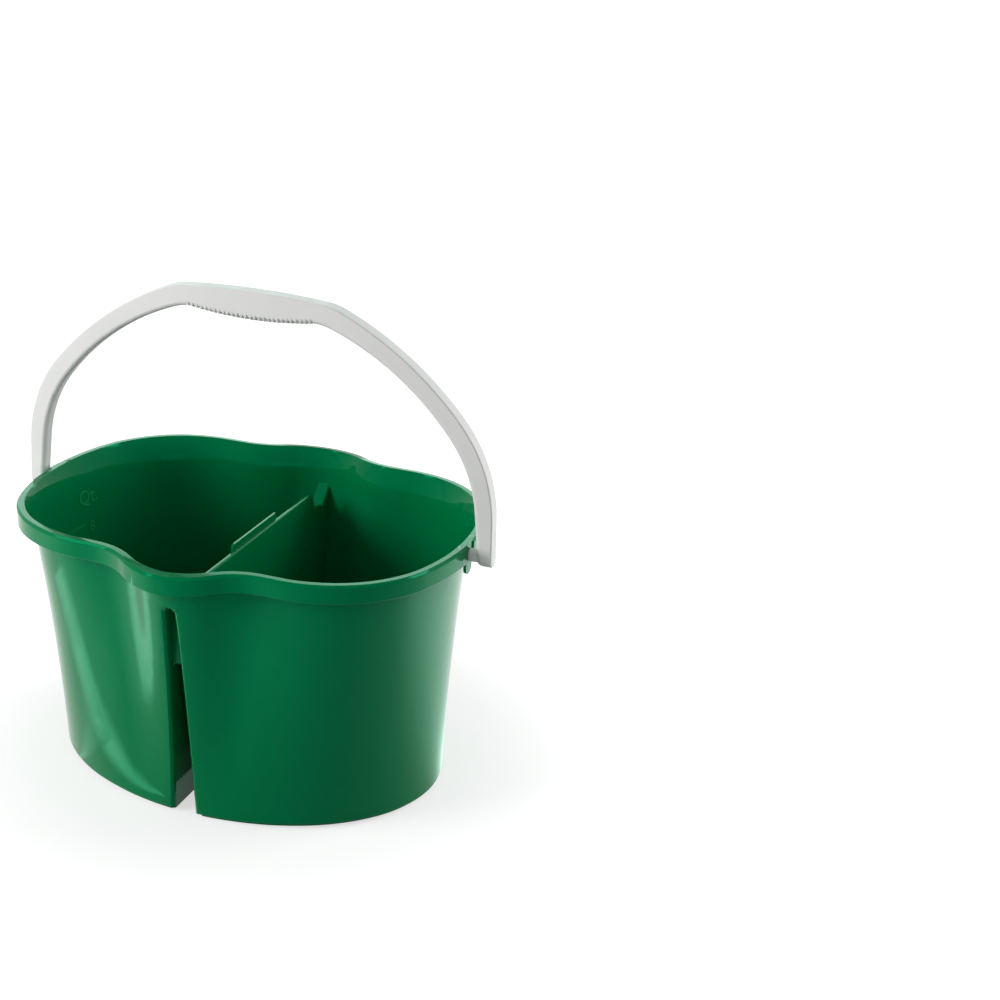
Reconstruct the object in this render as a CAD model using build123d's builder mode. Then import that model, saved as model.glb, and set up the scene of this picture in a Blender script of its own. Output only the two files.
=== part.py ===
# Two-compartment cleaning bucket with a swinging carry handle
# Millimetres, +Z up. The origin lies on the floor under the middle of the tub.
# X runs through both handle pivots, Y along the divider from spout to spout.
import os
from math import acos, asin, atan2, cos, degrees, radians, sin, sqrt, tan

from build123d import *

# Tub outline at the rim: gently curved ends, round corners, straight sides with a pouring spout in each
tub_height = 250
rim_half_length = 208
rim_half_width = 146
rim_end_radius = 230
rim_end_turn = 18.5
spout_reach = 174
spout_half_width = 80
spout_nose_radius = 66
spout_dip = 4
spout_dip_start = 130

# Tub outline on the floor: an ellipse, and where on it the stations of the rim come down
base_half_length = 185
base_half_width = 137.5
base_station_angles = (0, 20, 45, 65, 75, 82, 90)
spout_foot_station = 4

# Moulded wall, floor and foot ring
wall = 2.6
wall_hollow = 2.5
floor_thickness = 3
floor_radius = 9
base_edge_radius = 3
foot_height = 3
foot_inset = 5
foot_width = 5

# Rim: the wall flares out under it and turns over into a hanging skirt
rim_overhang = 14
lip_height = 22
flare_height = 26
lip_land = 8
cap_thickness = 3
skirt_height = 16
skirt_wall = 2.4
rim_chamfer = 2

# Level bands that the tall walls are lofted in
wall_bands = 12
outer_flare_bands = 1
inner_flare_bands = 3
round_bands = 2

# Slot between the compartments: a tunnel open to the floor, with a taller pocket at each mouth.
# A drop is how far something lies below the top of the rim.
slot_foot_half = 10
slot_roof_half = 3.8
slot_roof_drop = 42
slot_roof_radius = 3.4
slot_mouth_radius = 5
slot_mouth_flats = 3
tunnel_roof_drop = 98
tunnel_roof_radius = 3
pocket_face = 141
pocket_roof_drop = 52
pocket_roof_slope = 42
hood_radius = 9

# Divider: a hollow wedge over the tunnel, with a notch before each pocket and a tab on its ridge
ridge_drop = 34
ridge_width = 5
ridge_radius = 2.2
ridge_half_length = 124
ridge_end_radius = 9
wedge_roof_drop = 70
wedge_roof_radius = 2.5
notch_drop = 50
notch_radius = 4.5
tab_length = 87
tab_height = 6.5
tab_thickness = 2
tab_shift = 4
tab_corner_radius = 5

# Pivot lugs, set into the ends of the rim
pivot_drop = 11
lug_width = 14
lug_drop = 18
lug_wall = 2.6
lug_recess = 1.5

# Carry handle: each edge is a chain of arcs from the grip down to a straight leg.
# A slope is how far an edge points below level, a turn how far an arc bends it, a lean a leg's slant.
handle_thickness = 14
swing_clearance = 4.5
grip_depth = 25.5
valley_depth = 20.7
valley_radius = 12
crown_slope = 4.7
crown_end_radius = 58
crown_end_turn = 18.3
outer_arm_radius = 304
outer_arm_turn = 25.5
outer_elbow_radius = 135
outer_leg_lean = 2.2
valley_slope = 4.2
valley_end_radius = 54
valley_end_turn = 15.7
inner_arm_radius = 249
inner_arm_turn = 31.3
inner_elbow_radius = 121
inner_leg_lean = 6.4
foot_drop = 8
foot_depth = 13.3
foot_radius = 6.5
handle_outer_chamfer = 1
handle_inner_radius = 4.5

# Pivot pins moulded on the legs: a boss against the lug, a pin through it and a snap head behind it
boss_length = 8.7
boss_diameter = 11.5
pin_diameter = 7
pin_head_diameter = 9
pin_head_thickness = 1.4
pin_head_chamfer = 0.9
pin_running_clearance = 0.05
side_clearance = 0.3

# Worked out from the sizes above
margin = 20
lip_base = tub_height - lip_height
flare_base = tub_height - flare_height
ease_base = tub_height - 2 * lip_height
slot_roof_height = tub_height - slot_roof_drop
tunnel_roof_height = tub_height - tunnel_roof_drop
pocket_roof_height = tub_height - pocket_roof_drop
ridge_height = tub_height - ridge_drop
wedge_roof_height = tub_height - wedge_roof_drop
notch_height = tub_height - notch_drop
pivot_height = tub_height - pivot_drop
floor_height = foot_height + floor_thickness
end_turn_sine = sin(radians(rim_end_turn))
end_centre = Vector(rim_half_length - rim_end_radius, 0)
corner_radius = (rim_half_width - rim_end_radius * end_turn_sine) / (1 - end_turn_sine)
corner_centre = end_centre + Vector(rim_end_radius - corner_radius, 0).rotate(Axis.Z, rim_end_turn)
spout_depth = spout_reach - rim_half_width
spout_radii = (spout_half_width**2 + spout_depth**2) / (2 * spout_depth)
spout_turn = degrees(asin(spout_half_width / spout_radii))
flank_radius = spout_radii - spout_nose_radius
flank_centre = Vector(spout_half_width, rim_half_width + flank_radius)
nose_centre = Vector(0, spout_reach - spout_nose_radius)
slot_reach = spout_reach + margin
slot_draft = (slot_foot_half - slot_roof_half) / slot_roof_height
slot_arch_base = slot_roof_height - slot_roof_radius
lug_face = rim_half_length - lug_recess
lug_back = lug_face - lug_wall


def facing(angle):
    return Vector(cos(radians(angle)), sin(radians(angle)))


def rim_stations(inset):
    """Points along a quarter of the rim outline, each with the angle that its edge faces."""
    corner_angle = (rim_end_turn + 90) / 2
    flank_angle = 90 - spout_turn
    return [
        (end_centre + facing(0) * (rim_end_radius - inset), 0),
        (end_centre + facing(rim_end_turn) * (rim_end_radius - inset), rim_end_turn),
        (corner_centre + facing(corner_angle) * (corner_radius - inset), corner_angle),
        (corner_centre + facing(90) * (corner_radius - inset), 90),
        (Vector(spout_half_width, rim_half_width - inset), 90),
        (flank_centre - facing(flank_angle) * (flank_radius + inset), flank_angle),
        (nose_centre + facing(90) * (spout_nose_radius - inset), 90),
    ]


def base_stations(inset):
    """The same stations on the floor's ellipse."""
    stations = []
    for angle in base_station_angles:
        along_x = (base_half_length - inset) * cos(radians(angle))
        along_y = (base_half_width - inset) * sin(radians(angle))
        edge_angle = degrees(atan2(along_y * base_half_length**2, along_x * base_half_width**2))
        stations.append((Vector(along_x, along_y), edge_angle))
    return stations


def outline(z, share, inset):
    """Tub outline at a height: share 0 is the floor's ellipse, share 1 the rim's shape."""
    quarter = []
    for (low, low_angle), (high, high_angle) in zip(base_stations(inset), rim_stations(inset)):
        point = low * (1 - share) + high * share
        tangent = facing(low_angle + 90) * (1 - share) + facing(high_angle + 90) * share
        quarter.append((point, tangent))
    corner = quarter[: spout_foot_station + 1]
    near_corner = [(Vector(p.X, -p.Y), Vector(-t.X, t.Y)) for p, t in reversed(corner[1:])]
    flank = quarter[spout_foot_station:]
    far_flank = [(Vector(-p.X, p.Y), Vector(t.X, -t.Y)) for p, t in reversed(flank[:-1])]
    lobe = near_corner + corner
    spout = flank + far_flank
    lobe_edge = Spline([p for p, t in lobe], tangents=[t for p, t in lobe])
    spout_edge = Spline([p for p, t in spout], tangents=[t for p, t in spout])
    loop = Wire([lobe_edge, spout_edge, lobe_edge.mirror(Plane.YZ), spout_edge.mirror(Plane.XZ)])
    return Plane.XY.offset(z) * Face(loop)


def rim_share(z):
    """Share of the rim's shape in the outline at a height: it grows evenly and eases to 1 at the top."""
    if z < ease_base:
        return z / lip_base
    return 1 - (tub_height - z) ** 2 / (4 * lip_height * lip_base)


def wall_inset(z):
    """How far the wall's outside lies inside the rim's edge: hollow half way up, flared at the top."""
    share = min(z, flare_base) / lip_base
    inset = rim_overhang * share + 4 * wall_hollow * share * (1 - share)
    flared = max(0, z - flare_base) / flare_height
    return inset + (lip_land - wall - inset) * flared**2


def wall_sections(low, radius, inset, flare_bands, top):
    """Outlines of a wall from a rounded lower edge to its flared top, at level bands."""
    levels = []
    for step in range(round_bands):
        turn = radians(90 * step / round_bands)
        levels.append((low + radius * (1 - cos(turn)), inset + radius * (1 - sin(turn))))
    straight_base = low + radius
    for step in range(wall_bands):
        levels.append((straight_base + (flare_base - straight_base) * step / wall_bands, inset))
    flare_top = tub_height - 2 * spout_dip
    for step in range(flare_bands + 1):
        levels.append((flare_base + (flare_top - flare_base) * step / flare_bands, inset))
    levels.append((top, inset))
    return [outline(z, rim_share(z), wall_inset(z) + extra) for z, extra in levels]


def rim_layer(top_drop, bottom_drop):
    """Side view of a layer of the rim between two drops below its top, which dips at the spouts."""
    dip_end = spout_reach + margin
    dip_mid = (spout_dip_start + dip_end) / 2
    dip_curve = spout_dip / (spout_reach - spout_dip_start) ** 2
    fall_mid = dip_curve * (dip_mid - spout_dip_start) ** 2
    fall_end = dip_curve * (dip_end - spout_dip_start) ** 2
    top = tub_height - top_drop
    bottom = tub_height - bottom_drop
    with BuildSketch(Plane.YZ) as shape:
        with BuildLine():
            for level in (top, bottom):
                start = (spout_dip_start, level)
                Line((0, level), start)
                ThreePointArc(start, (dip_mid, level - fall_mid), (dip_end, level - fall_end))
            Line((dip_end, top - fall_end), (dip_end, bottom - fall_end))
            mirror(about=Plane.YZ)
        make_face()
    return shape.sketch


def slot_half(z):
    """Half the slot's width at a height: its sides lean together upwards."""
    return slot_foot_half - slot_draft * z


def slot_half_grown(z, grow):
    """Half the width at a height of the slot grown all round, up into its round-cornered roof."""
    above = z - slot_arch_base
    if above <= 0:
        return slot_half(z) + grow
    return slot_roof_half - slot_roof_radius + sqrt(max(0, (slot_roof_radius + grow) ** 2 - above**2))


def slot_section(roof_height, roof_radius, grow):
    """Front view of the slot under a round-cornered roof, or the same grown by a wall."""
    with BuildSketch(Plane.XZ) as shape:
        with BuildLine():
            Polyline(
                (-slot_half(-margin), -margin),
                (-slot_half(roof_height), roof_height),
                (slot_half(roof_height), roof_height),
                (slot_half(-margin), -margin),
                close=True,
            )
        make_face()
        fillet(shape.vertices().group_by(Axis.Y)[-1], radius=roof_radius)
        if grow:
            offset(amount=grow)
    return shape.sketch


def wedge_section(top, radius, inset):
    """Front view of the divider up to a round-edged top: as wide as the slot and its walls below the
    tunnel's roof, then drawn in towards the ridge. An inset gives the hollow inside it."""
    shoulder = slot_half(tunnel_roof_height) + wall
    lean = (shoulder - ridge_width / 2) / (ridge_height - tunnel_roof_height)
    top_half = ridge_width / 2 + lean * (ridge_height - top) - inset
    with BuildSketch(Plane.XZ) as shape:
        with BuildLine():
            right_side = Polyline(
                (0, top),
                (top_half, top),
                (shoulder - inset, tunnel_roof_height),
                (slot_half(-margin) + wall - inset, -margin),
                (0, -margin),
            )
            mirror(right_side, about=Plane.YZ)
        make_face()
        side_corners = shape.vertices().filter_by(lambda corner: corner.X != 0)
        fillet(side_corners.group_by(Axis.Y)[-1], radius=radius)
    return shape.sketch


def nose_reach(z):
    """How far the spout's nose reaches along Y on the outside of the wall at a height."""
    share = rim_share(max(z, 0))
    return base_half_width * (1 - share) + spout_reach * share - wall_inset(max(z, 0))


def pocket_side():
    """Side view of the two tall pockets, whose roofs rise towards the outside."""
    roof_rise = (slot_reach - pocket_face) * tan(radians(pocket_roof_slope))
    with BuildSketch(Plane.YZ) as shape:
        with BuildLine():
            Polyline(
                (pocket_face, -margin),
                (pocket_face, pocket_roof_height),
                (slot_reach, pocket_roof_height + roof_rise),
                (slot_reach, -margin),
                close=True,
            )
        make_face()
        mirror(about=Plane.YZ)
    return shape.sketch


def casing_side():
    """Side view of the casings that keep the pockets dry, with hoods that sweep up into the wall."""
    face = pocket_face - wall
    hood_end = nose_reach(slot_roof_height) - wall / 4
    hood_rise = (hood_end - face) * tan(radians(pocket_roof_slope))
    hood_corner = notch_height + hood_rise
    hood_top = hood_corner + hood_radius / 2
    with BuildSketch(Plane.YZ) as shape:
        with BuildLine():
            Polyline(
                (face, -margin),
                (face, notch_height),
                (hood_end, hood_corner),
                (hood_end, hood_top),
                (slot_reach, hood_top),
                (slot_reach, -margin),
                close=True,
            )
        make_face()
        hood_corners = shape.vertices().filter_by_position(Axis.X, hood_end, hood_end)
        fillet(hood_corners.sort_by(Axis.Y)[0], radius=hood_radius)
        mirror(about=Plane.YZ)
    return shape.sketch


def slot_mouth_section(z):
    """Plan of the rounding of one edge of the slot's mouth at a height, in flats; over the roof it is
    cut down to the part that reaches so high."""
    share = rim_share(max(z, 0))
    nose = nose_reach(z)
    nose_radius = base_half_length**2 / base_half_width * (1 - share) + spout_nose_radius * share
    surface = nose - slot_half_grown(z, slot_mouth_radius) ** 2 / (2 * nose_radius)
    first_turn = degrees(acos(1 - max(0, z - slot_roof_height) / slot_mouth_radius))
    flats = []
    for step in range(slot_mouth_flats + 1):
        turn = radians(first_turn + (90 - first_turn) * step / slot_mouth_flats)
        half = slot_half_grown(z, slot_mouth_radius * (1 - cos(turn)))
        flats.append(Vector(half, surface - slot_mouth_radius * (1 - sin(turn))))
    run_off = flats[-1] + 2 * (flats[-1] - flats[-2])
    inner_x = flats[0].X - slot_roof_half
    outer_y = nose + margin
    corners = [(inner_x, flats[0].Y), *flats[:-1], run_off, (run_off.X, outer_y), (inner_x, outer_y)]
    return Plane.XY.offset(z) * Face(Wire.make_polygon(corners))


# Outlines of the walls, the skirt, the foot ring and the rounding of the slot's mouth
inside_top = tub_height + lip_land
outer_sections = wall_sections(foot_height, base_edge_radius, 0, outer_flare_bands, tub_height)
inner_sections = wall_sections(floor_height, floor_radius, wall, inner_flare_bands, inside_top)
skirt_levels = (tub_height - skirt_height - margin, tub_height + margin)
skirt_outside = [outline(z, 1, 0) for z in skirt_levels]
skirt_inside = [outline(z, 1, skirt_wall) for z in skirt_levels]
foot_outside = [outline(z, 0, foot_inset) for z in (0, foot_height)]
foot_inside = [outline(z, 0, foot_inset + foot_width) for z in (0, foot_height)]
slot_mouth_step = (slot_arch_base - foot_height) / wall_bands
slot_mouth_levels = [-margin] + [foot_height + slot_mouth_step * step for step in range(wall_bands + 1)]
slot_mouth_levels += [slot_arch_base + slot_roof_radius * share for share in (0.5, 0.87)]
slot_mouth_levels += [slot_roof_height + slot_mouth_radius * share for share in (0, 0.13, 0.4, 0.75)]
slot_mouth_sections = [slot_mouth_section(z) for z in slot_mouth_levels]

# Outside of the tub, and the space inside it before the divider takes its part
with BuildPart() as outside:
    loft(outer_sections, ruled=True)
with BuildPart() as inside:
    loft(inner_sections, ruled=True)

# Tall pockets at the slot's mouths, and their casings
with BuildPart() as pockets:
    extrude(pocket_side(), amount=slot_foot_half + margin, both=True)
    pocket_front = slot_section(slot_roof_height, slot_roof_radius, 0)
    extrude(pocket_front, amount=slot_reach, both=True, mode=Mode.INTERSECT)
with BuildPart() as casings:
    extrude(casing_side(), amount=slot_foot_half + margin, both=True)
    casing_front = slot_section(tub_height, wall / 2, wall)
    extrude(casing_front, amount=slot_reach, both=True, mode=Mode.INTERSECT)

# Divider with the casings
with BuildPart() as divider:
    extrude(wedge_section(ridge_height, ridge_radius, 0), amount=slot_reach, both=True)
    with BuildSketch(Plane.YZ) as divider_side:
        with BuildLine():
            Polyline(
                (0, ridge_height),
                (ridge_half_length, ridge_height),
                (ridge_half_length, notch_height),
                (slot_reach, notch_height),
                (slot_reach, -margin),
                (0, -margin),
                close=True,
            )
        make_face()
        shoulder = divider_side.vertices().filter_by_position(Axis.X, ridge_half_length, ridge_half_length)
        fillet(shoulder.sort_by(Axis.Y)[-1], radius=ridge_end_radius)
        fillet(shoulder.sort_by(Axis.Y)[0], radius=notch_radius)
        mirror(about=Plane.YZ)
    extrude(amount=slot_foot_half + margin, both=True, mode=Mode.INTERSECT)
    with BuildSketch(Plane.YZ.offset(-ridge_width / 2)) as tab_side:
        with Locations((tab_shift, ridge_height)):
            Rectangle(tab_length, 2 * tab_height)
        fillet(tab_side.vertices().group_by(Axis.Y)[-1].sort_by(Axis.X)[0], radius=tab_corner_radius)
    extrude(amount=tab_thickness)
    add(casings.part)

# Slot: the pockets, the tunnel and the hollow inside the wedge, which a web closes off at each pocket
with BuildPart() as slot:
    wedge_hollow = wedge_section(wedge_roof_height, wedge_roof_radius, wall)
    extrude(wedge_hollow, amount=pocket_face - wall, both=True)
    extrude(slot_section(tunnel_roof_height, tunnel_roof_radius, 0), amount=slot_reach, both=True)
    add(pockets.part)
with BuildPart() as slot_mouths:
    loft(slot_mouth_sections, ruled=True)
    mirror(about=Plane.YZ)
    mirror(about=Plane.XZ)

with BuildPart() as cavity:
    add(inside.part)
    add(divider.part, mode=Mode.SUBTRACT)

# Cap over the flared wall and the skirt that hangs from its edge
with BuildPart() as skirt_hollow:
    loft(skirt_inside, ruled=True)
    below_cap = rim_layer(cap_thickness, skirt_height + margin)
    extrude(below_cap, amount=rim_half_length + margin, both=True, mode=Mode.INTERSECT)
with BuildPart() as skirt:
    loft(skirt_outside, ruled=True)
    extrude(rim_layer(0, skirt_height), amount=rim_half_length + margin, both=True, mode=Mode.INTERSECT)
    rim_edges = skirt.edges().filter_by(lambda edge: edge.center().Z > tub_height - skirt_height / 2)
    chamfer(rim_edges.filter_by(GeomType.BSPLINE), length=rim_chamfer)
    add(skirt_hollow.part, mode=Mode.SUBTRACT)
with BuildPart() as sky:
    extrude(rim_layer(-2 * margin, 0), amount=rim_half_length + margin, both=True)

# Foot ring under the floor, open at the slot
with BuildPart() as foot_ring:
    loft(foot_outside, ruled=True)
    loft(foot_inside, ruled=True, mode=Mode.SUBTRACT)
    with BuildSketch():
        Rectangle(2 * (slot_foot_half + foot_inset), 2 * slot_reach)
    extrude(amount=foot_height, mode=Mode.SUBTRACT)

with BuildPart() as bucket:
    add(outside.part)
    add(slot.part, mode=Mode.SUBTRACT)
    add(slot_mouths.part, mode=Mode.SUBTRACT)
    add(foot_ring.part)
    add(sky.part, mode=Mode.SUBTRACT)
    add(skirt.part)
    add(cavity.part, mode=Mode.SUBTRACT)
    for side in (1, -1):
        with BuildSketch(Plane.YZ.offset(side * lug_face)):
            with Locations((0, tub_height)):
                Rectangle(lug_width, 2 * (skirt_height + margin))
        extrude(amount=side * (lug_recess + margin), mode=Mode.SUBTRACT)
        with BuildSketch(Plane.YZ.offset(side * lug_face)):
            with Locations((0, pivot_height - lug_drop + lug_width / 2)):
                Circle(lug_width / 2)
                lug_rise = tub_height - pivot_height + lug_drop - lug_width / 2
                Rectangle(lug_width, lug_rise, align=(Align.CENTER, Align.MIN))
        extrude(amount=-side * lug_wall)
        with BuildSketch(Plane.YZ.offset(side * lug_face)):
            with Locations((0, pivot_height)):
                Circle(pin_diameter / 2 + pin_running_clearance)
        extrude(amount=-side * lug_wall, mode=Mode.SUBTRACT)
bucket.part.label = "bucket"


def arch_arcs(slope, arcs, elbow_radius, lean):
    """Arcs of an edge of the handle as (radius, slope, turn); the elbow turns into a leg of that lean."""
    chain = []
    for radius, turn in arcs:
        chain.append((radius, slope, turn))
        slope += turn
    chain.append((elbow_radius, slope, 90 - lean - slope))
    return chain


def arch_run(chain):
    """How far a chain of arcs goes outwards, and down as a negative rise."""
    run = Vector()
    for radius, slope, turn in chain:
        run += radius * (facing(90 - slope - turn) - facing(90 - slope))
    return run


def draw_arch(start, chain, foot):
    """Draw a chain of arcs from its start on the grip, and the straight leg to the foot."""
    for radius, slope, turn in chain:
        arc = JernArc(start, facing(-slope), radius, -turn)
        start = arc @ 1
    Line(start, foot)


def faces_outwards(face):
    """Whether a face of the handle looks away from the middle of its arch."""
    return face.normal_at().dot(face.center() - Vector(0, 0, pivot_height)) > 0


def on_handle_side(edge):
    """Whether an edge lies in one of the handle's flat sides."""
    return abs(edge.center().Y) > handle_thickness / 2 - handle_outer_chamfer / 2


# Where the handle's edges start on the right of the grip, so that the legs come down beside the lugs
grip_top = pivot_height + spout_reach + swing_clearance + grip_depth
foot_inner = Vector(lug_face + side_clearance + boss_length, pivot_height - foot_drop)
foot_outer = foot_inner + Vector(foot_depth, 0)
outer_chain = arch_arcs(
    crown_slope,
    [(crown_end_radius, crown_end_turn), (outer_arm_radius, outer_arm_turn)],
    outer_elbow_radius,
    outer_leg_lean,
)
inner_chain = arch_arcs(
    valley_slope,
    [(valley_end_radius, valley_end_turn), (inner_arm_radius, inner_arm_turn)],
    inner_elbow_radius,
    inner_leg_lean,
)
outer_run = arch_run(outer_chain)
outer_lean = tan(radians(outer_leg_lean))
crown_fall = tan(radians(crown_slope / 2))
outer_leg_foot = foot_outer.X - outer_run.X - (grip_top + outer_run.Y - foot_outer.Y) * outer_lean
crown_half_length = outer_leg_foot / (1 - crown_fall * outer_lean)
crown_end = Vector(crown_half_length, grip_top - crown_half_length * crown_fall)
inner_run = arch_run(inner_chain)
valley_height = grip_top - valley_depth
inner_leg_fall = valley_height + inner_run.Y - foot_inner.Y
valley = Vector(foot_inner.X - inner_run.X - inner_leg_fall * tan(radians(inner_leg_lean)), valley_height)

# Boss, pin and snap head of one pivot, along X
with BuildPart() as pivot_pin:
    boss_face = lug_face + side_clearance
    head_face = lug_back - side_clearance
    with BuildSketch(Plane.YZ.offset(boss_face)):
        with Locations((0, pivot_height)):
            Circle(boss_diameter / 2)
    extrude(amount=boss_length + foot_depth / 2)
    with BuildSketch(Plane.YZ.offset(head_face)):
        with Locations((0, pivot_height)):
            Circle(pin_diameter / 2)
    extrude(amount=boss_face - head_face)
    with BuildSketch(Plane.YZ.offset(head_face)):
        with Locations((0, pivot_height)):
            Circle(pin_head_diameter / 2)
    extrude(amount=-pin_head_thickness)
    chamfer(pivot_pin.edges().sort_by(Axis.X)[0], length=pin_head_chamfer)

with BuildPart() as handle:
    with BuildSketch(Plane.XZ.offset(-handle_thickness / 2)) as arch_side:
        with BuildLine():
            draw_arch(crown_end, outer_chain, foot_outer)
            draw_arch(valley, inner_chain, foot_inner)
            Line(foot_outer, foot_inner)
            mirror(about=Plane.YZ)
            ThreePointArc((-crown_end.X, crown_end.Y), (0, grip_top), crown_end)
            ThreePointArc((-valley.X, valley.Y), (0, grip_top - grip_depth), valley)
        make_face()
        low, high = valley.Y - side_clearance, valley.Y + side_clearance
        valleys = arch_side.vertices().filter_by_position(Axis.Y, low, high)
        fillet(valleys, radius=valley_radius)
    extrude(amount=handle_thickness)
    foot_edges = handle.faces().group_by(Axis.Z)[0].edges().filter_by(Axis.X)
    fillet(foot_edges, radius=foot_radius)
    edge_faces = handle.faces().filter_by(Axis.Y, reverse=True)
    arch_faces = edge_faces.filter_by(lambda face: face.center().Z > pivot_height)
    outer_edges = arch_faces.filter_by(faces_outwards).edges().filter_by(on_handle_side)
    chamfer(outer_edges, length=handle_outer_chamfer)
    edge_faces = handle.faces().filter_by(Axis.Y, reverse=True)
    arch_faces = edge_faces.filter_by(lambda face: face.center().Z > pivot_height)
    inner_edges = arch_faces.filter_by(faces_outwards, reverse=True).edges().filter_by(on_handle_side)
    fillet(inner_edges, radius=handle_inner_radius)
    add(pivot_pin.part)
    mirror(pivot_pin.part, about=Plane.YZ)
handle.part.label = "handle"

os.makedirs("parts", exist_ok=True)
export_step(bucket.part, "parts/bucket.step")
export_step(handle.part, "parts/handle.step")
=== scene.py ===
import bisect
import math

import bmesh
import bpy
from mathutils import Matrix, Vector
from mathutils.bvhtree import BVHTree


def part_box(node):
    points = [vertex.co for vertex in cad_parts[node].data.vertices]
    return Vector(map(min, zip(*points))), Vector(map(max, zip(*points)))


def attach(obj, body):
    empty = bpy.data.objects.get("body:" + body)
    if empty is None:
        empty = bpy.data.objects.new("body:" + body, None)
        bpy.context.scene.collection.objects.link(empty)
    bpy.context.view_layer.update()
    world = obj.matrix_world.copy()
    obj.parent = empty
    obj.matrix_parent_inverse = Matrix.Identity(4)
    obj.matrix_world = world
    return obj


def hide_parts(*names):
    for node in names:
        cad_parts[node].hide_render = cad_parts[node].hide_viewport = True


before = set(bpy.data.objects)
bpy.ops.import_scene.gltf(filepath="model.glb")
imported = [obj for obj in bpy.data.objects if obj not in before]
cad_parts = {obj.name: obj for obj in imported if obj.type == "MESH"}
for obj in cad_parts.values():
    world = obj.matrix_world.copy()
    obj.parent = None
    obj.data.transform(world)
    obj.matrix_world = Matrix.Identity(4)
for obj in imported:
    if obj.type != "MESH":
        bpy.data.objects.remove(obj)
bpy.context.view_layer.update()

scene = bpy.context.scene
scene.view_settings.view_transform = "Standard"

# Lengths are in metres. A drop is measured down from the top of the rim.
rim_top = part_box("bucket")[1].z
rim_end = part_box("bucket")[1].x

# Edges: those that turn by more than SHARP_ANGLE are sharp, and some of the sharp ones are rounded over
WELD = 1e-6
SHARP_ANGLE = math.radians(34)
RIM_ZONE = 0.019
RIM_ROUNDING = 0.0004
LUG_HALF_WIDTH = 0.012
HOOD_ROUNDING = 0.0015
HOOD_HALF_WIDTH = 0.02
HOOD_START = 0.125
HOOD_FOOT_DROP = 0.06
HOOD_HEAD_DROP = 0.0225
HOOD_FACING = 1 / 3
ROUNDING_STEPS = 2

# Walls: the smooth normals come from the level rings of vertices that the walls are made of
SLOT_ZONE = 0.016
WALL_LOW = 0.004
OUTER_TOP_DROP = 0.0255
INNER_TOP_DROP = 0.007
WALL_LEAN = 0.8
RING_DIGITS = 5
RING_LEAST = 100
RING_BREAK = 0.03
BAND_LEAN = 0.78
BAND_STEP = math.radians(1.5)
NORMAL_AGREEMENT = 0.9

# Ribs on the underside of the grip
HANDLE_THICKNESS = 0.014
GRIP_CORNER = 0.0045
RIB_COUNT = 28
RIB_PITCH = 0.0043
RIB_GROOVE = 0.0022
RIB_DEPTH = 0.0017
RIB_STEPS = 6
RIB_FADE = 0.75
RUN_OUT_SIDE = RIB_DEPTH / 4
RUN_OUT_RISE = 2 * RIB_DEPTH
CUTTER_DEPTH = 3 * RIB_DEPTH
CUTTER_SPREAD = 1.4
DEGENERATE = 2e-6

# Graduation inside the left end wall: places are (y, z) of a mark's lower left corner
MARK_START = -0.1
MARK_HEIGHT = 0.0005
MARK_SINK = 0.0003
UNIT_HEIGHT = 0.0165
UNIT_PLACE = (0.013, 0.2035)
NUMBER_HEIGHT = 0.0105
NUMBER_PLACE = (0.0245, 0.177)
TICK_LENGTH = 0.031
TICK_WIDTH = 0.0012
TICK_CUTS = 9
TICK_PLACE = (-0.014, 0.187)
TEXT_RESOLUTION = 4
TEXT_WELD = 1e-4

# Moulded plastic: texture scales are per metre
NOISE_LOW = 0.3
NOISE_HIGH = 0.7
FLOW_SCALE = 9
FLOW_DETAIL = 3
WEAR_SCALE = 60
WEAR_DETAIL = 4
WEAR_ROUGHNESS = 0.6
SKIN_DETAIL = 2
SKIN_STRENGTH = 0.08
SKIN_HEIGHT = 0.0001

# Stage and light
FLOOR_SIZE = 30
FLOOR_GREY = 0.46
FLOOR_NEAR = 0.18
FLOOR_FAR = 0.5
FLOOR_GLOW_NEAR = 0.62
FILL = 0.37
LAMP_DISTANCE = 1.7
LAMP_TARGET = Vector((0, 0, 0.2))
CARD_LIFT = 0.0005
CARD_STEPS = 12
WHITE = (1.0, 1.0, 1.0)
PALE_MINT = (0.62, 1.0, 0.84)
MINT = (0.45, 1.0, 0.75)

# Camera: angles in degrees, sensor and lens in millimetres
CAMERA_AZIMUTH = 26.492
CAMERA_ELEVATION = 25.723
CAMERA_DISTANCE = 1.57685
CAMERA_TARGET = Vector((0, 0, 0.125))
AIM_RIGHT = 4.943
AIM_UP = 0.933
CAMERA_ROLL = 2.258
CAMERA_SENSOR = 36
CAMERA_LENS = 61.09668
CAMERA_SHIFT = 0.1


def nodes_of(owner):
    """The node tree of a material or world, emptied."""
    owner.use_nodes = True
    tree = owner.node_tree
    tree.nodes.clear()
    return tree


def link(tree, source, socket, target, name):
    """Join one node's output to another node's input."""
    tree.links.new(source.outputs[socket], target.inputs[name])


def maths(tree, operation, first, second):
    """One sum on two numbers of a node tree."""
    node = tree.nodes.new("ShaderNodeMath")
    node.operation = operation
    tree.links.new(first, node.inputs[0])
    tree.links.new(second, node.inputs[1])
    return node


def spread_between(tree, value, socket, start, end, low, high, smooth=False):
    """A number that goes from low to high while another number goes from start to end."""
    node = tree.nodes.new("ShaderNodeMapRange")
    node.interpolation_type = "SMOOTHSTEP" if smooth else "LINEAR"
    node.inputs["From Min"].default_value = start
    node.inputs["From Max"].default_value = end
    node.inputs["To Min"].default_value = low
    node.inputs["To Max"].default_value = high
    link(tree, value, socket, node, "Value")
    return node


def noise(tree, coords, scale, detail, roughness=0.5):
    """A noise texture over the object's own coordinates."""
    node = tree.nodes.new("ShaderNodeTexNoise")
    node.inputs["Scale"].default_value = scale
    node.inputs["Detail"].default_value = detail
    node.inputs["Roughness"].default_value = roughness
    link(tree, coords, "Object", node, "Vector")
    return node


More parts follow.
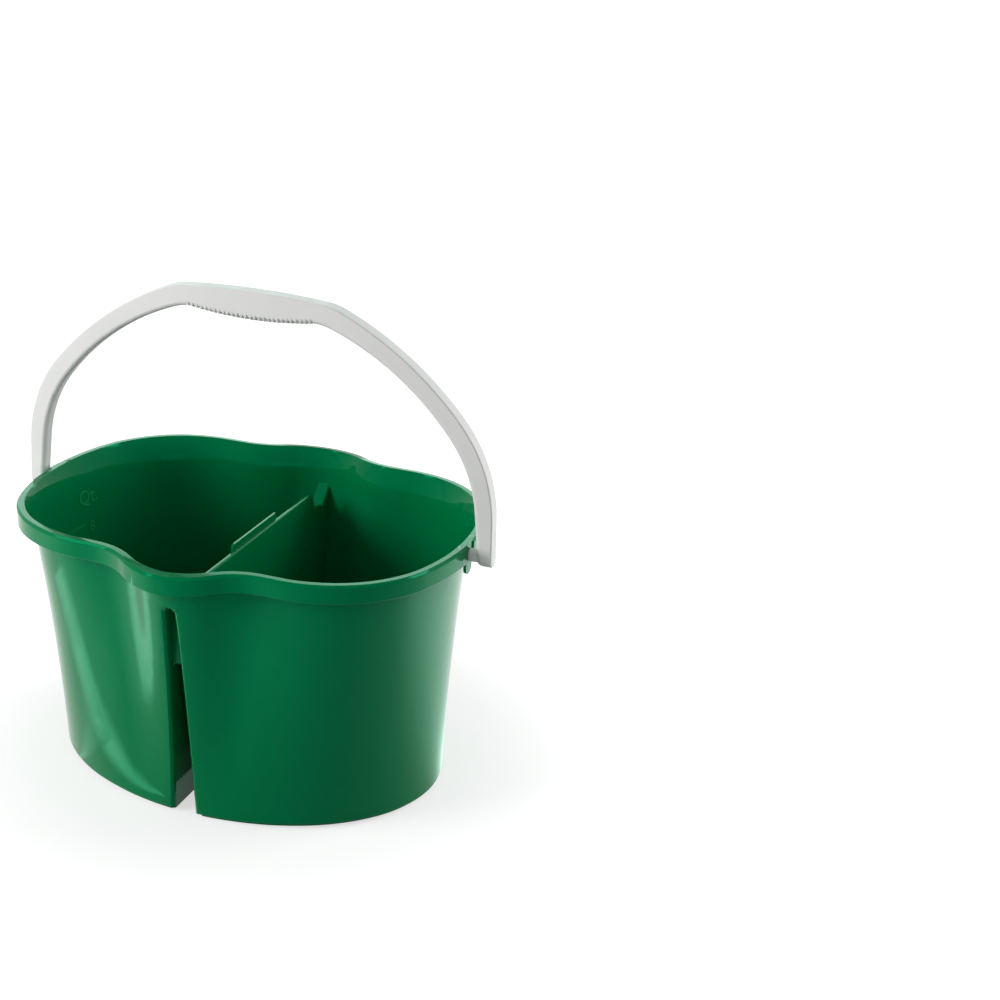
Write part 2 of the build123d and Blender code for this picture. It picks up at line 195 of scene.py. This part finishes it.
def from_noise(tree, texture, low, high):
    """A number that a noise texture moves between low and high."""
    return spread_between(tree, texture, "Fac", NOISE_LOW, NOISE_HIGH, low, high)


def moulded_plastic(name, colour, shade, gloss, specular, specular_tint, grain):
    """Moulded plastic: a faint flow of shade through the colour, uneven gloss and a fine moulded skin."""
    mat = bpy.data.materials.new(name)
    tree = nodes_of(mat)
    output = tree.nodes.new("ShaderNodeOutputMaterial")
    shader = tree.nodes.new("ShaderNodeBsdfPrincipled")
    shader.inputs["Specular Tint"].default_value = (*specular_tint, 1)
    shader.inputs["Specular IOR Level"].default_value = specular
    link(tree, shader, "BSDF", output, "Surface")
    coords = tree.nodes.new("ShaderNodeTexCoord")

    flow = noise(tree, coords, FLOW_SCALE, FLOW_DETAIL)
    mix = tree.nodes.new("ShaderNodeMix")
    mix.data_type = "RGBA"
    mix.inputs["A"].default_value = (*colour, 1)
    mix.inputs["B"].default_value = (*shade, 1)
    link(tree, from_noise(tree, flow, 0, 1), "Result", mix, "Factor")
    link(tree, mix, "Result", shader, "Base Color")

    wear = noise(tree, coords, WEAR_SCALE, WEAR_DETAIL, WEAR_ROUGHNESS)
    link(tree, from_noise(tree, wear, *gloss), "Result", shader, "Roughness")

    skin = noise(tree, coords, grain, SKIN_DETAIL)
    bump = tree.nodes.new("ShaderNodeBump")
    bump.inputs["Strength"].default_value = SKIN_STRENGTH
    bump.inputs["Distance"].default_value = SKIN_HEIGHT
    link(tree, skin, "Fac", bump, "Height")
    link(tree, bump, "Normal", shader, "Normal")
    return mat


green = moulded_plastic(
    "green_plastic",
    colour=(0.0, 0.172, 0.053),
    shade=(0.0, 0.162, 0.049),
    gloss=(0.05, 0.09),
    specular=0.2,
    specular_tint=(0.0, 1.0, 0.6),
    grain=700,
)
# Graduation marks: the rough frosted finish is their own, but their green is lighter than the tub's as
# painted light, for the light that the raised marks catch
frosted_and_painted_lighter = moulded_plastic(
    "frosted_marks_painted_lighter",
    colour=(0.004, 0.240, 0.085),
    shade=(0.004, 0.228, 0.080),
    gloss=(0.45, 0.55),
    specular=0.3,
    specular_tint=(0.1, 1.0, 0.6),
    grain=1400,
)
white = moulded_plastic(
    "white_plastic",
    colour=(0.79, 0.79, 0.78),
    shade=(0.76, 0.76, 0.75),
    gloss=(0.40, 0.50),
    specular=0.25,
    specular_tint=WHITE,
    grain=1400,
)


def welded(node):
    """A bmesh of a CAD node's shape with its facets joined up."""
    bm = bmesh.new()
    bm.from_mesh(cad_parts[node].data)
    bmesh.ops.remove_doubles(bm, verts=bm.verts, dist=WELD)
    return bm


def mark_sharp_edges(bm):
    """Keep the shading from running over the shape's sharp edges."""
    for edge in bm.edges:
        edge.smooth = edge.is_manifold and edge.calc_face_angle(0) < SHARP_ANGLE


def piece(bm, name, node, mat):
    """A smooth-shaded piece that stands for a CAD node and rides on the body of the same name."""
    for face in bm.faces:
        face.smooth = True
    mesh = bpy.data.meshes.new(name)
    bm.to_mesh(mesh)
    bm.free()
    mesh.materials.append(mat)
    obj = bpy.data.objects.new(name, mesh)
    scene.collection.objects.link(obj)
    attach(obj, node)
    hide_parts(node)
    return obj


def weigh_normals(obj):
    """Let the large faces of a piece set the shading of the small ones beside them."""
    normals = obj.modifiers.new("normals", "WEIGHTED_NORMAL")
    normals.keep_sharp = True


def on_hood(edge):
    """Whether an edge is a free edge of the raised hood at an end of the divider."""
    inside = all(abs(v.co.x) < HOOD_HALF_WIDTH and abs(v.co.y) > HOOD_START for v in edge.verts)
    low, high = rim_top - HOOD_FOOT_DROP, rim_top - HOOD_HEAD_DROP
    level = all(low < v.co.z < high for v in edge.verts)
    inwards = -HOOD_FACING * HOOD_START
    fronts = any(face.normal.y * face.calc_center_median().y < inwards for face in edge.link_faces)
    return inside and level and fronts and edge.is_convex


def on_rim(edge):
    """Whether an edge is an edge of the rim, away from the lugs."""
    low = min(v.co.z for v in edge.verts)
    lug_start = rim_end - RIM_ZONE
    beside_lug = any(abs(v.co.y) < LUG_HALF_WIDTH and abs(v.co.x) > lug_start for v in edge.verts)
    return low > rim_top - RIM_ZONE and not beside_lug


def round_over(bm, chosen, radius, slide):
    """Round over the sharp edges that a test chooses."""
    edges = [edge for edge in bm.edges if edge.calc_face_angle(0) > SHARP_ANGLE and chosen(edge)]
    bmesh.ops.bevel(
        bm,
        geom=edges,
        offset=radius,
        offset_type="OFFSET",
        segments=ROUNDING_STEPS,
        profile=0.5,
        affect="EDGES",
        clamp_overlap=False,
        loop_slide=slide,
    )


def finished(obj):
    """Keep what an object's modifiers make of it as its own mesh."""
    depsgraph = bpy.context.evaluated_depsgraph_get()
    evaluated = obj.evaluated_get(depsgraph)
    mesh = bpy.data.meshes.new_from_object(evaluated, preserve_all_data_layers=True, depsgraph=depsgraph)
    obj.modifiers.clear()
    obj.data = mesh
    return mesh


def turn_of(point):
    """The angle of a point round the tub."""
    return math.atan2(point.y, point.x)


def faces_out(polygon):
    """Whether a face looks away from the middle of the tub."""
    return polygon.normal.x * polygon.center.x + polygon.normal.y * polygon.center.y > 0


def by_chords(before, here, after):
    """Direction of a smooth curve at the middle one of three points."""
    a, b = here - before, after - here
    return (a * (b.length / a.length) + b * (a.length / b.length)).normalized()


def wall_rings(mesh, outwards):
    """The level rings of vertices on one side of the wall, from low to high, each in order round the tub."""
    top = rim_top - (OUTER_TOP_DROP if outwards else INNER_TOP_DROP)
    rings = {}
    for polygon in mesh.polygons:
        if abs(polygon.normal.z) > WALL_LEAN or faces_out(polygon) != outwards:
            continue
        for index in polygon.vertices:
            point = mesh.vertices[index].co
            if abs(point.x) > SLOT_ZONE and WALL_LOW < point.z < top:
                rings.setdefault(round(point.z, RING_DIGITS), set()).add(index)
    full = []
    for _, members in sorted(rings.items()):
        if len(members) > RING_LEAST:
            full.append(sorted(members, key=lambda index: turn_of(mesh.vertices[index].co)))
    return full


def ring_point(mesh, ring, angle):
    """Where a ring lies at an angle round the tub, or nothing where the ring is broken."""
    points = [mesh.vertices[index].co for index in ring]
    angles = [turn_of(point) for point in points]
    after = bisect.bisect(angles, angle) % len(ring)
    a, b = points[after - 1], points[after]
    if (a - b).length > RING_BREAK:
        return None
    span = (angles[after] - angles[after - 1]) % (2 * math.pi)
    share = ((angle - angles[after - 1]) % (2 * math.pi)) / span if span else 0
    return a.lerp(b, share)


def ring_normals(mesh, rings):
    """Normals at the rings' vertices, from the run of each ring and its neighbours above and below."""
    found = {}
    for level, ring in enumerate(rings):
        lower = rings[max(level - 1, 0)]
        upper = rings[min(level + 1, len(rings) - 1)]
        for place, index in enumerate(ring):
            here = mesh.vertices[index].co
            before = mesh.vertices[ring[place - 1]].co
            after = mesh.vertices[ring[(place + 1) % len(ring)]].co
            below = ring_point(mesh, lower, turn_of(here))
            above = ring_point(mesh, upper, turn_of(here))
            broken = max((here - before).length, (after - here).length) > RING_BREAK
            if broken or not below or not above:
                continue
            upwards = above - below
            if lower is not ring and upper is not ring:
                upwards = by_chords(below, here, above)
            found[index] = by_chords(before, here, after).cross(upwards).normalized()
    return found


def top_band_normals(mesh, ring):
    """Normals of the band between the uppermost ring inside the tub and the land of the rim."""
    found = {}
    start = mesh.vertices[ring[0]].co.z
    for polygon in mesh.polygons:
        if polygon.center.z < start or polygon.normal.z > BAND_LEAN or faces_out(polygon):
            continue
        for index in polygon.vertices:
            here = mesh.vertices[index].co
            angle = turn_of(here)
            sides = [ring_point(mesh, ring, angle + turn) for turn in (-BAND_STEP, 0, BAND_STEP)]
            if here.z < start + RIM_ROUNDING or None in sides:
                continue
            found[index] = (sides[2] - sides[0]).cross(here - sides[1]).normalized()
    return found


def true_normals(mesh):
    """Give the walls the normals of the smooth surfaces that their level rings lie on."""
    inner_rings = wall_rings(mesh, False)
    found = ring_normals(mesh, wall_rings(mesh, True))
    found.update(ring_normals(mesh, inner_rings))
    found.update(top_band_normals(mesh, inner_rings[-1]))
    normals = [corner.vector.copy() for corner in mesh.corner_normals]
    for polygon in mesh.polygons:
        for index, loop in zip(polygon.vertices, polygon.loop_indices):
            normal = found.get(index)
            if normal is None:
                continue
            if normal.dot(polygon.normal) < 0:
                normal = -normal
            if normal.dot(polygon.normal) > NORMAL_AGREEMENT:
                normals[loop] = normal
    mesh.normals_split_custom_set(normals)


# Tub
tub_shape = welded("bucket")
mark_sharp_edges(tub_shape)
round_over(tub_shape, on_hood, HOOD_ROUNDING, True)
round_over(tub_shape, on_rim, RIM_ROUNDING, False)
tub = piece(tub_shape, "tub", "bucket", green)
weigh_normals(tub)
true_normals(finished(tub))


def in_world(bm, name):
    """A short-lived object of a bmesh, for tools that work on objects."""
    mesh = bpy.data.meshes.new(name)
    bm.to_mesh(mesh)
    obj = bpy.data.objects.new(name, mesh)
    scene.collection.objects.link(obj)
    return obj


def rib_profile():
    """The foot of a groove round the underside of the grip, from side to side, as (y, height) points."""
    flat = HANDLE_THICKNESS / 2 - GRIP_CORNER
    side = []
    for step in range(RIB_STEPS + 1):
        turn = math.pi / 2 * step / RIB_STEPS
        radius = GRIP_CORNER - RIB_DEPTH * math.cos(RIB_FADE * turn) ** 2
        side.append((flat + radius * math.sin(turn), GRIP_CORNER - radius * math.cos(turn)))
    side.append((HANDLE_THICKNESS / 2 + RUN_OUT_SIDE, side[-1][1] + RUN_OUT_RISE))
    return [(-y, z) for y, z in reversed(side)] + side


def rib_cutter(bm, profile, underside, normal):
    """A bent bar that cuts one groove where the underside of the grip has a point and a normal."""
    along = Vector((normal.z, 0, -normal.x)) * (RIB_GROOVE / 2)
    rings = []
    for end in (-1, 1):
        start = underside + end * along
        inner = []
        outer = []
        for y, z in profile:
            low = min(z, 0) - CUTTER_DEPTH if abs(y) < HANDLE_THICKNESS / 2 else z
            inner.append(bm.verts.new(start + Vector((0, y, 0)) - normal * z))
            outer.append(bm.verts.new(start + Vector((0, CUTTER_SPREAD * y, 0)) - normal * low))
        rings.append((inner, outer))
    (inner_a, outer_a), (inner_b, outer_b) = rings
    last = len(profile) - 1
    for k in range(last):
        bm.faces.new((inner_a[k], inner_a[k + 1], inner_b[k + 1], inner_b[k]))
        bm.faces.new((outer_a[k], outer_b[k], outer_b[k + 1], outer_a[k + 1]))
        bm.faces.new((inner_a[k], outer_a[k], outer_a[k + 1], inner_a[k + 1]))
        bm.faces.new((inner_b[k], inner_b[k + 1], outer_b[k + 1], outer_b[k]))
    for k in (0, last):
        bm.faces.new((inner_a[k], inner_b[k], outer_b[k], outer_a[k]))


def rib_cutters(handle_tree):
    """The bars that cut the grooves between the ribs, side by side along the grip."""
    bm = bmesh.new()
    profile = rib_profile()
    for index in range(RIB_COUNT):
        x = (index - (RIB_COUNT - 1) / 2) * RIB_PITCH
        underside, normal, _, _ = handle_tree.ray_cast(Vector((x, 0, rim_top)), Vector((0, 0, 1)))
        rib_cutter(bm, profile, underside, normal)
    bmesh.ops.recalc_face_normals(bm, faces=bm.faces)
    return bm


def ribbed(bm):
    """The handle's shape with the grooves cut out of its grip."""
    cutters = in_world(rib_cutters(BVHTree.FromBMesh(bm)), "rib_cutters")
    uncut = in_world(bm, "uncut_handle")
    cut = uncut.modifiers.new("ribs", "BOOLEAN")
    cut.operation = "DIFFERENCE"
    cut.solver = "EXACT"
    cut.object = cutters
    evaluated = uncut.evaluated_get(bpy.context.evaluated_depsgraph_get())
    result = bmesh.new()
    result.from_mesh(evaluated.to_mesh())
    for obj in (uncut, cutters):
        bpy.data.objects.remove(obj)
    bmesh.ops.dissolve_degenerate(result, dist=DEGENERATE, edges=result.edges)
    return result


# Handle
handle_shape = ribbed(welded("handle"))
mark_sharp_edges(handle_shape)
carry_handle = piece(handle_shape, "carry_handle", "handle", white)
weigh_normals(carry_handle)


def text_shape(body, height):
    """A flat text of a letter height and a depth of 1, with its lower left corner at the origin."""
    curve = bpy.data.curves.new("text", "FONT")
    curve.body = body
    curve.extrude = 0.5
    curve.resolution_u = TEXT_RESOLUTION
    obj = bpy.data.objects.new("text", curve)
    scene.collection.objects.link(obj)
    bpy.context.view_layer.update()
    bm = bmesh.new()
    bm.from_mesh(obj.evaluated_get(bpy.context.evaluated_depsgraph_get()).to_mesh())
    bpy.data.objects.remove(obj)
    bmesh.ops.remove_doubles(bm, verts=bm.verts, dist=TEXT_WELD)
    low = Vector([min(vert.co[axis] for vert in bm.verts) for axis in range(3)])
    scale = height / (max(vert.co.y for vert in bm.verts) - low.y)
    for vert in bm.verts:
        u, v, w = vert.co - low
        vert.co = Vector((u * scale, v * scale, w))
    return bm


def line_shape(length):
    """A flat line with a depth of 1, cut into short stretches so that it follows a curved wall."""
    bm = bmesh.new()
    bmesh.ops.create_cube(bm, size=1)
    lengthwise = [edge for edge in bm.edges if edge.verts[0].co.x != edge.verts[1].co.x]
    bmesh.ops.subdivide_edges(bm, edges=lengthwise, cuts=TICK_CUTS)
    for vert in bm.verts:
        u, v, w = vert.co
        vert.co = Vector(((u + 0.5) * length, v * TICK_WIDTH, w + 0.5))
    return bm


def lay_on_wall(bm, wall_tree, y, z):
    """Lay a flat shape on the left end wall inside the tub, from just under the wall's skin to above it."""
    for vert in bm.verts:
        u, v, w = vert.co
        start = Vector((MARK_START, y + u, z + v))
        point, normal, _, _ = wall_tree.ray_cast(start, Vector((-1, 0, 0)))
        vert.co = point + normal * (w * MARK_HEIGHT - (1 - w) * MARK_SINK)


def graduation_mesh():
    """The graduation's unit, number and tick line, laid on the tub's wall as one mesh."""
    points = [vert.co for vert in tub.data.vertices]
    wall_tree = BVHTree.FromPolygons(points, [polygon.vertices for polygon in tub.data.polygons])
    marks = bmesh.new()
    for shape, place in (
        (text_shape("Qt.", UNIT_HEIGHT), UNIT_PLACE),
        (text_shape("8", NUMBER_HEIGHT), NUMBER_PLACE),
        (line_shape(TICK_LENGTH), TICK_PLACE),
    ):
        lay_on_wall(shape, wall_tree, *place)
        mark = bpy.data.meshes.new("mark")
        shape.to_mesh(mark)
        shape.free()
        marks.from_mesh(mark)
        bpy.data.meshes.remove(mark)
    mesh = bpy.data.meshes.new("graduations")
    marks.to_mesh(mesh)
    marks.free()
    # The marks' lighter green is painted light, not the plastic's own colour
    mesh.materials.append(frosted_and_painted_lighter)
    return mesh


# Graduation
graduations = bpy.data.objects.new("graduations", graduation_mesh())
scene.collection.objects.link(graduations)
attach(graduations, "bucket")


def in_view(tree):
    """1 for the rays that show the background, straight or in gloss or glass, and 0 for the rest."""
    path = tree.nodes.new("ShaderNodeLightPath")
    gloss = maths(tree, "ADD", path.outputs["Is Camera Ray"], path.outputs["Is Glossy Ray"])
    glass = maths(tree, "ADD", gloss.outputs["Value"], path.outputs["Is Transmission Ray"])
    glass.use_clamp = True
    return glass


def floor_material():
    """A pale floor that is white away from the object and keeps the object's shadow."""
    mat = bpy.data.materials.new("floor")
    tree = nodes_of(mat)
    output = tree.nodes.new("ShaderNodeOutputMaterial")
    both = tree.nodes.new("ShaderNodeAddShader")
    diffuse = tree.nodes.new("ShaderNodeBsdfDiffuse")
    diffuse.inputs["Color"].default_value = (FLOOR_GREY, FLOOR_GREY, FLOOR_GREY, 1)
    glow = tree.nodes.new("ShaderNodeEmission")
    coords = tree.nodes.new("ShaderNodeTexCoord")
    distance = tree.nodes.new("ShaderNodeVectorMath")
    distance.operation = "LENGTH"
    link(tree, coords, "Object", distance, "Vector")
    level = spread_between(
        tree, distance, "Value", FLOOR_NEAR, FLOOR_FAR, FLOOR_GLOW_NEAR, 1, smooth=True
    )
    seen = maths(tree, "MULTIPLY", in_view(tree).outputs["Value"], level.outputs["Result"])
    link(tree, seen, "Value", glow, "Strength")
    link(tree, diffuse, "BSDF", both, 0)
    link(tree, glow, "Emission", both, 1)
    link(tree, both, "Shader", output, "Surface")
    return mat


def studio_world():
    """A world that is white where it shows and a soft fill where it lights the object."""
    world = bpy.data.worlds.new("studio")
    tree = nodes_of(world)
    output = tree.nodes.new("ShaderNodeOutputWorld")
    background = tree.nodes.new("ShaderNodeBackground")
    background.inputs["Color"].default_value = (*WHITE, 1)
    level = spread_between(tree, in_view(tree), "Value", 0, 1, FILL, 1)
    link(tree, level, "Result", background, "Strength")
    link(tree, background, "Background", output, "Surface")
    return world


# Stage
bpy.ops.mesh.primitive_plane_add(size=FLOOR_SIZE)
floor = bpy.context.object
floor.name = "floor"
floor.data.materials.append(floor_material())
scene.world = studio_world()


def around(azimuth, elevation, distance, target):
    """A point at a distance from a target; azimuth 0 is in front of the tub, on -Y, and 90 on its right."""
    a, e = math.radians(azimuth), math.radians(elevation)
    return target + distance * Vector((math.sin(a) * math.cos(e), -math.cos(a) * math.cos(e), math.sin(e)))


def softbox(name, azimuth, elevation, width, height, radiance, seen, colour=WHITE):
    """A studio light aimed at the tub, as bright as its radiance says, for soft light or for gloss only."""
    data = bpy.data.lights.new(name, "AREA")
    data.shape = "RECTANGLE"
    data.size = width
    data.size_y = height
    data.energy = radiance * math.pi * width * height
    data.color = colour
    lamp = bpy.data.objects.new(name, data)
    lamp.location = around(azimuth, elevation, LAMP_DISTANCE, LAMP_TARGET)
    lamp.rotation_euler = (LAMP_TARGET - lamp.location).to_track_quat("-Z", "Y").to_euler()
    lamp.visible_camera = False
    lamp.visible_glossy = seen == "gloss"
    lamp.visible_diffuse = seen == "soft"
    scene.collection.objects.link(lamp)


def sector_glow(name, start, end, soft, colour, radiance):
    """A clear material with a glow between two azimuths round the object's origin, faded at both sides."""
    mat = bpy.data.materials.new(name)
    tree = nodes_of(mat)
    output = tree.nodes.new("ShaderNodeOutputMaterial")
    both = tree.nodes.new("ShaderNodeAddShader")
    clear = tree.nodes.new("ShaderNodeBsdfTransparent")
    glow = tree.nodes.new("ShaderNodeEmission")
    glow.inputs["Color"].default_value = (*colour, 1)
    coords = tree.nodes.new("ShaderNodeTexCoord")
    split = tree.nodes.new("ShaderNodeSeparateXYZ")
    link(tree, coords, "Object", split, "Vector")
    front = tree.nodes.new("ShaderNodeMath")
    front.operation = "MULTIPLY"
    front.inputs[1].default_value = -1
    link(tree, split, "Y", front, 0)
    turn = maths(tree, "ARCTAN2", split.outputs["X"], front.outputs["Value"])
    a, b, fade = math.radians(start), math.radians(end), math.radians(soft)
    rise = spread_between(tree, turn, "Value", a, a + fade, 0, radiance, smooth=True)
    fall = spread_between(tree, turn, "Value", b - fade, b, 1, 0, smooth=True)
    level = maths(tree, "MULTIPLY", rise.outputs["Result"], fall.outputs["Result"])
    link(tree, level, "Value", glow, "Strength")
    link(tree, clear, "BSDF", both, 0)
    link(tree, glow, "Emission", both, 1)
    link(tree, both, "Shader", output, "Surface")
    mat.cycles.emission_sampling = "NONE"
    return mat


def glow_card(name, centre, start, end, soft, radius, radiance):
    """A mint glow on a sector of the floor round a centre, which only shows in the tub's gloss."""
    points = [(0, 0, 0)]
    for step in range(CARD_STEPS + 1):
        angle = math.radians(start + (end - start) * step / CARD_STEPS)
        points.append((radius * math.sin(angle), -radius * math.cos(angle), 0))
    mesh = bpy.data.meshes.new(name)
    mesh.from_pydata(points, [], [(0, k, k + 1) for k in range(1, CARD_STEPS + 1)])
    mesh.materials.append(sector_glow(name, start, end, soft, MINT, radiance))
    card = bpy.data.objects.new(name, mesh)
    card.location = (*centre, CARD_LIFT)
    card.visible_camera = False
    card.visible_diffuse = False
    card.visible_shadow = False
    scene.collection.objects.link(card)


# Soft light on the object
softbox("key", azimuth=-50, elevation=18, width=0.9, height=0.9, radiance=9.3, seen="soft")
softbox("right", azimuth=125, elevation=18, width=0.9, height=1.1, radiance=5.5, seen="soft")

# Gloss on the rim's land, on its two ends and on the back of its inside
softbox(
    "land_gloss", azimuth=-155, elevation=25, width=2.4, height=0.85, radiance=2.2,
    seen="gloss", colour=PALE_MINT,
)
softbox(
    "right_gloss", azimuth=122, elevation=41, width=0.6, height=0.4, radiance=8,
    seen="gloss", colour=MINT,
)
softbox(
    "left_gloss", azimuth=-60, elevation=46, width=0.7, height=0.5, radiance=6,
    seen="gloss", colour=MINT,
)
softbox(
    "window", azimuth=38, elevation=10, width=0.9, height=0.35, radiance=0.8,
    seen="gloss", colour=MINT,
)

# Gloss on the walls, which mirror the floor
glow_card("front_left_card", centre=(-0.13, -0.09), start=-85, end=-20, soft=25, radius=1.2, radiance=0.8)
glow_card("spout_card", centre=(-0.03, -0.15), start=-100, end=-74, soft=12, radius=0.45, radiance=4.5)
glow_card("right_card", centre=(0.1, 0), start=75, end=179, soft=55, radius=2.5, radiance=1)


def photo_camera():
    """A camera at the photograph's viewing angle, aimed a little to the right of the tub and rolled."""
    back = around(CAMERA_AZIMUTH, CAMERA_ELEVATION, 1, Vector())
    azimuth = math.radians(CAMERA_AZIMUTH)
    right = Vector((math.cos(azimuth), math.sin(azimuth), 0))
    up = back.cross(right)
    aim = math.tan(math.radians(AIM_RIGHT)) * right + math.tan(math.radians(AIM_UP)) * up
    forward = (aim - back).normalized()
    level_right = forward.cross(Vector((0, 0, 1))).normalized()
    level_up = level_right.cross(forward)
    roll = math.radians(CAMERA_ROLL)
    camera_right = math.cos(roll) * level_right + math.sin(roll) * level_up
    camera_up = math.cos(roll) * level_up - math.sin(roll) * level_right
    turn = Matrix((camera_right, camera_up, -forward)).transposed().to_4x4()
    place = around(CAMERA_AZIMUTH, CAMERA_ELEVATION, CAMERA_DISTANCE, CAMERA_TARGET)
    data = bpy.data.cameras.new("camera")
    data.sensor_width = CAMERA_SENSOR
    data.lens = CAMERA_LENS
    data.shift_x = CAMERA_SHIFT
    data.shift_y = CAMERA_SHIFT
    camera = bpy.data.objects.new("camera", data)
    camera.matrix_world = Matrix.Translation(place) @ turn
    scene.collection.objects.link(camera)
    return camera


scene.camera = photo_camera()
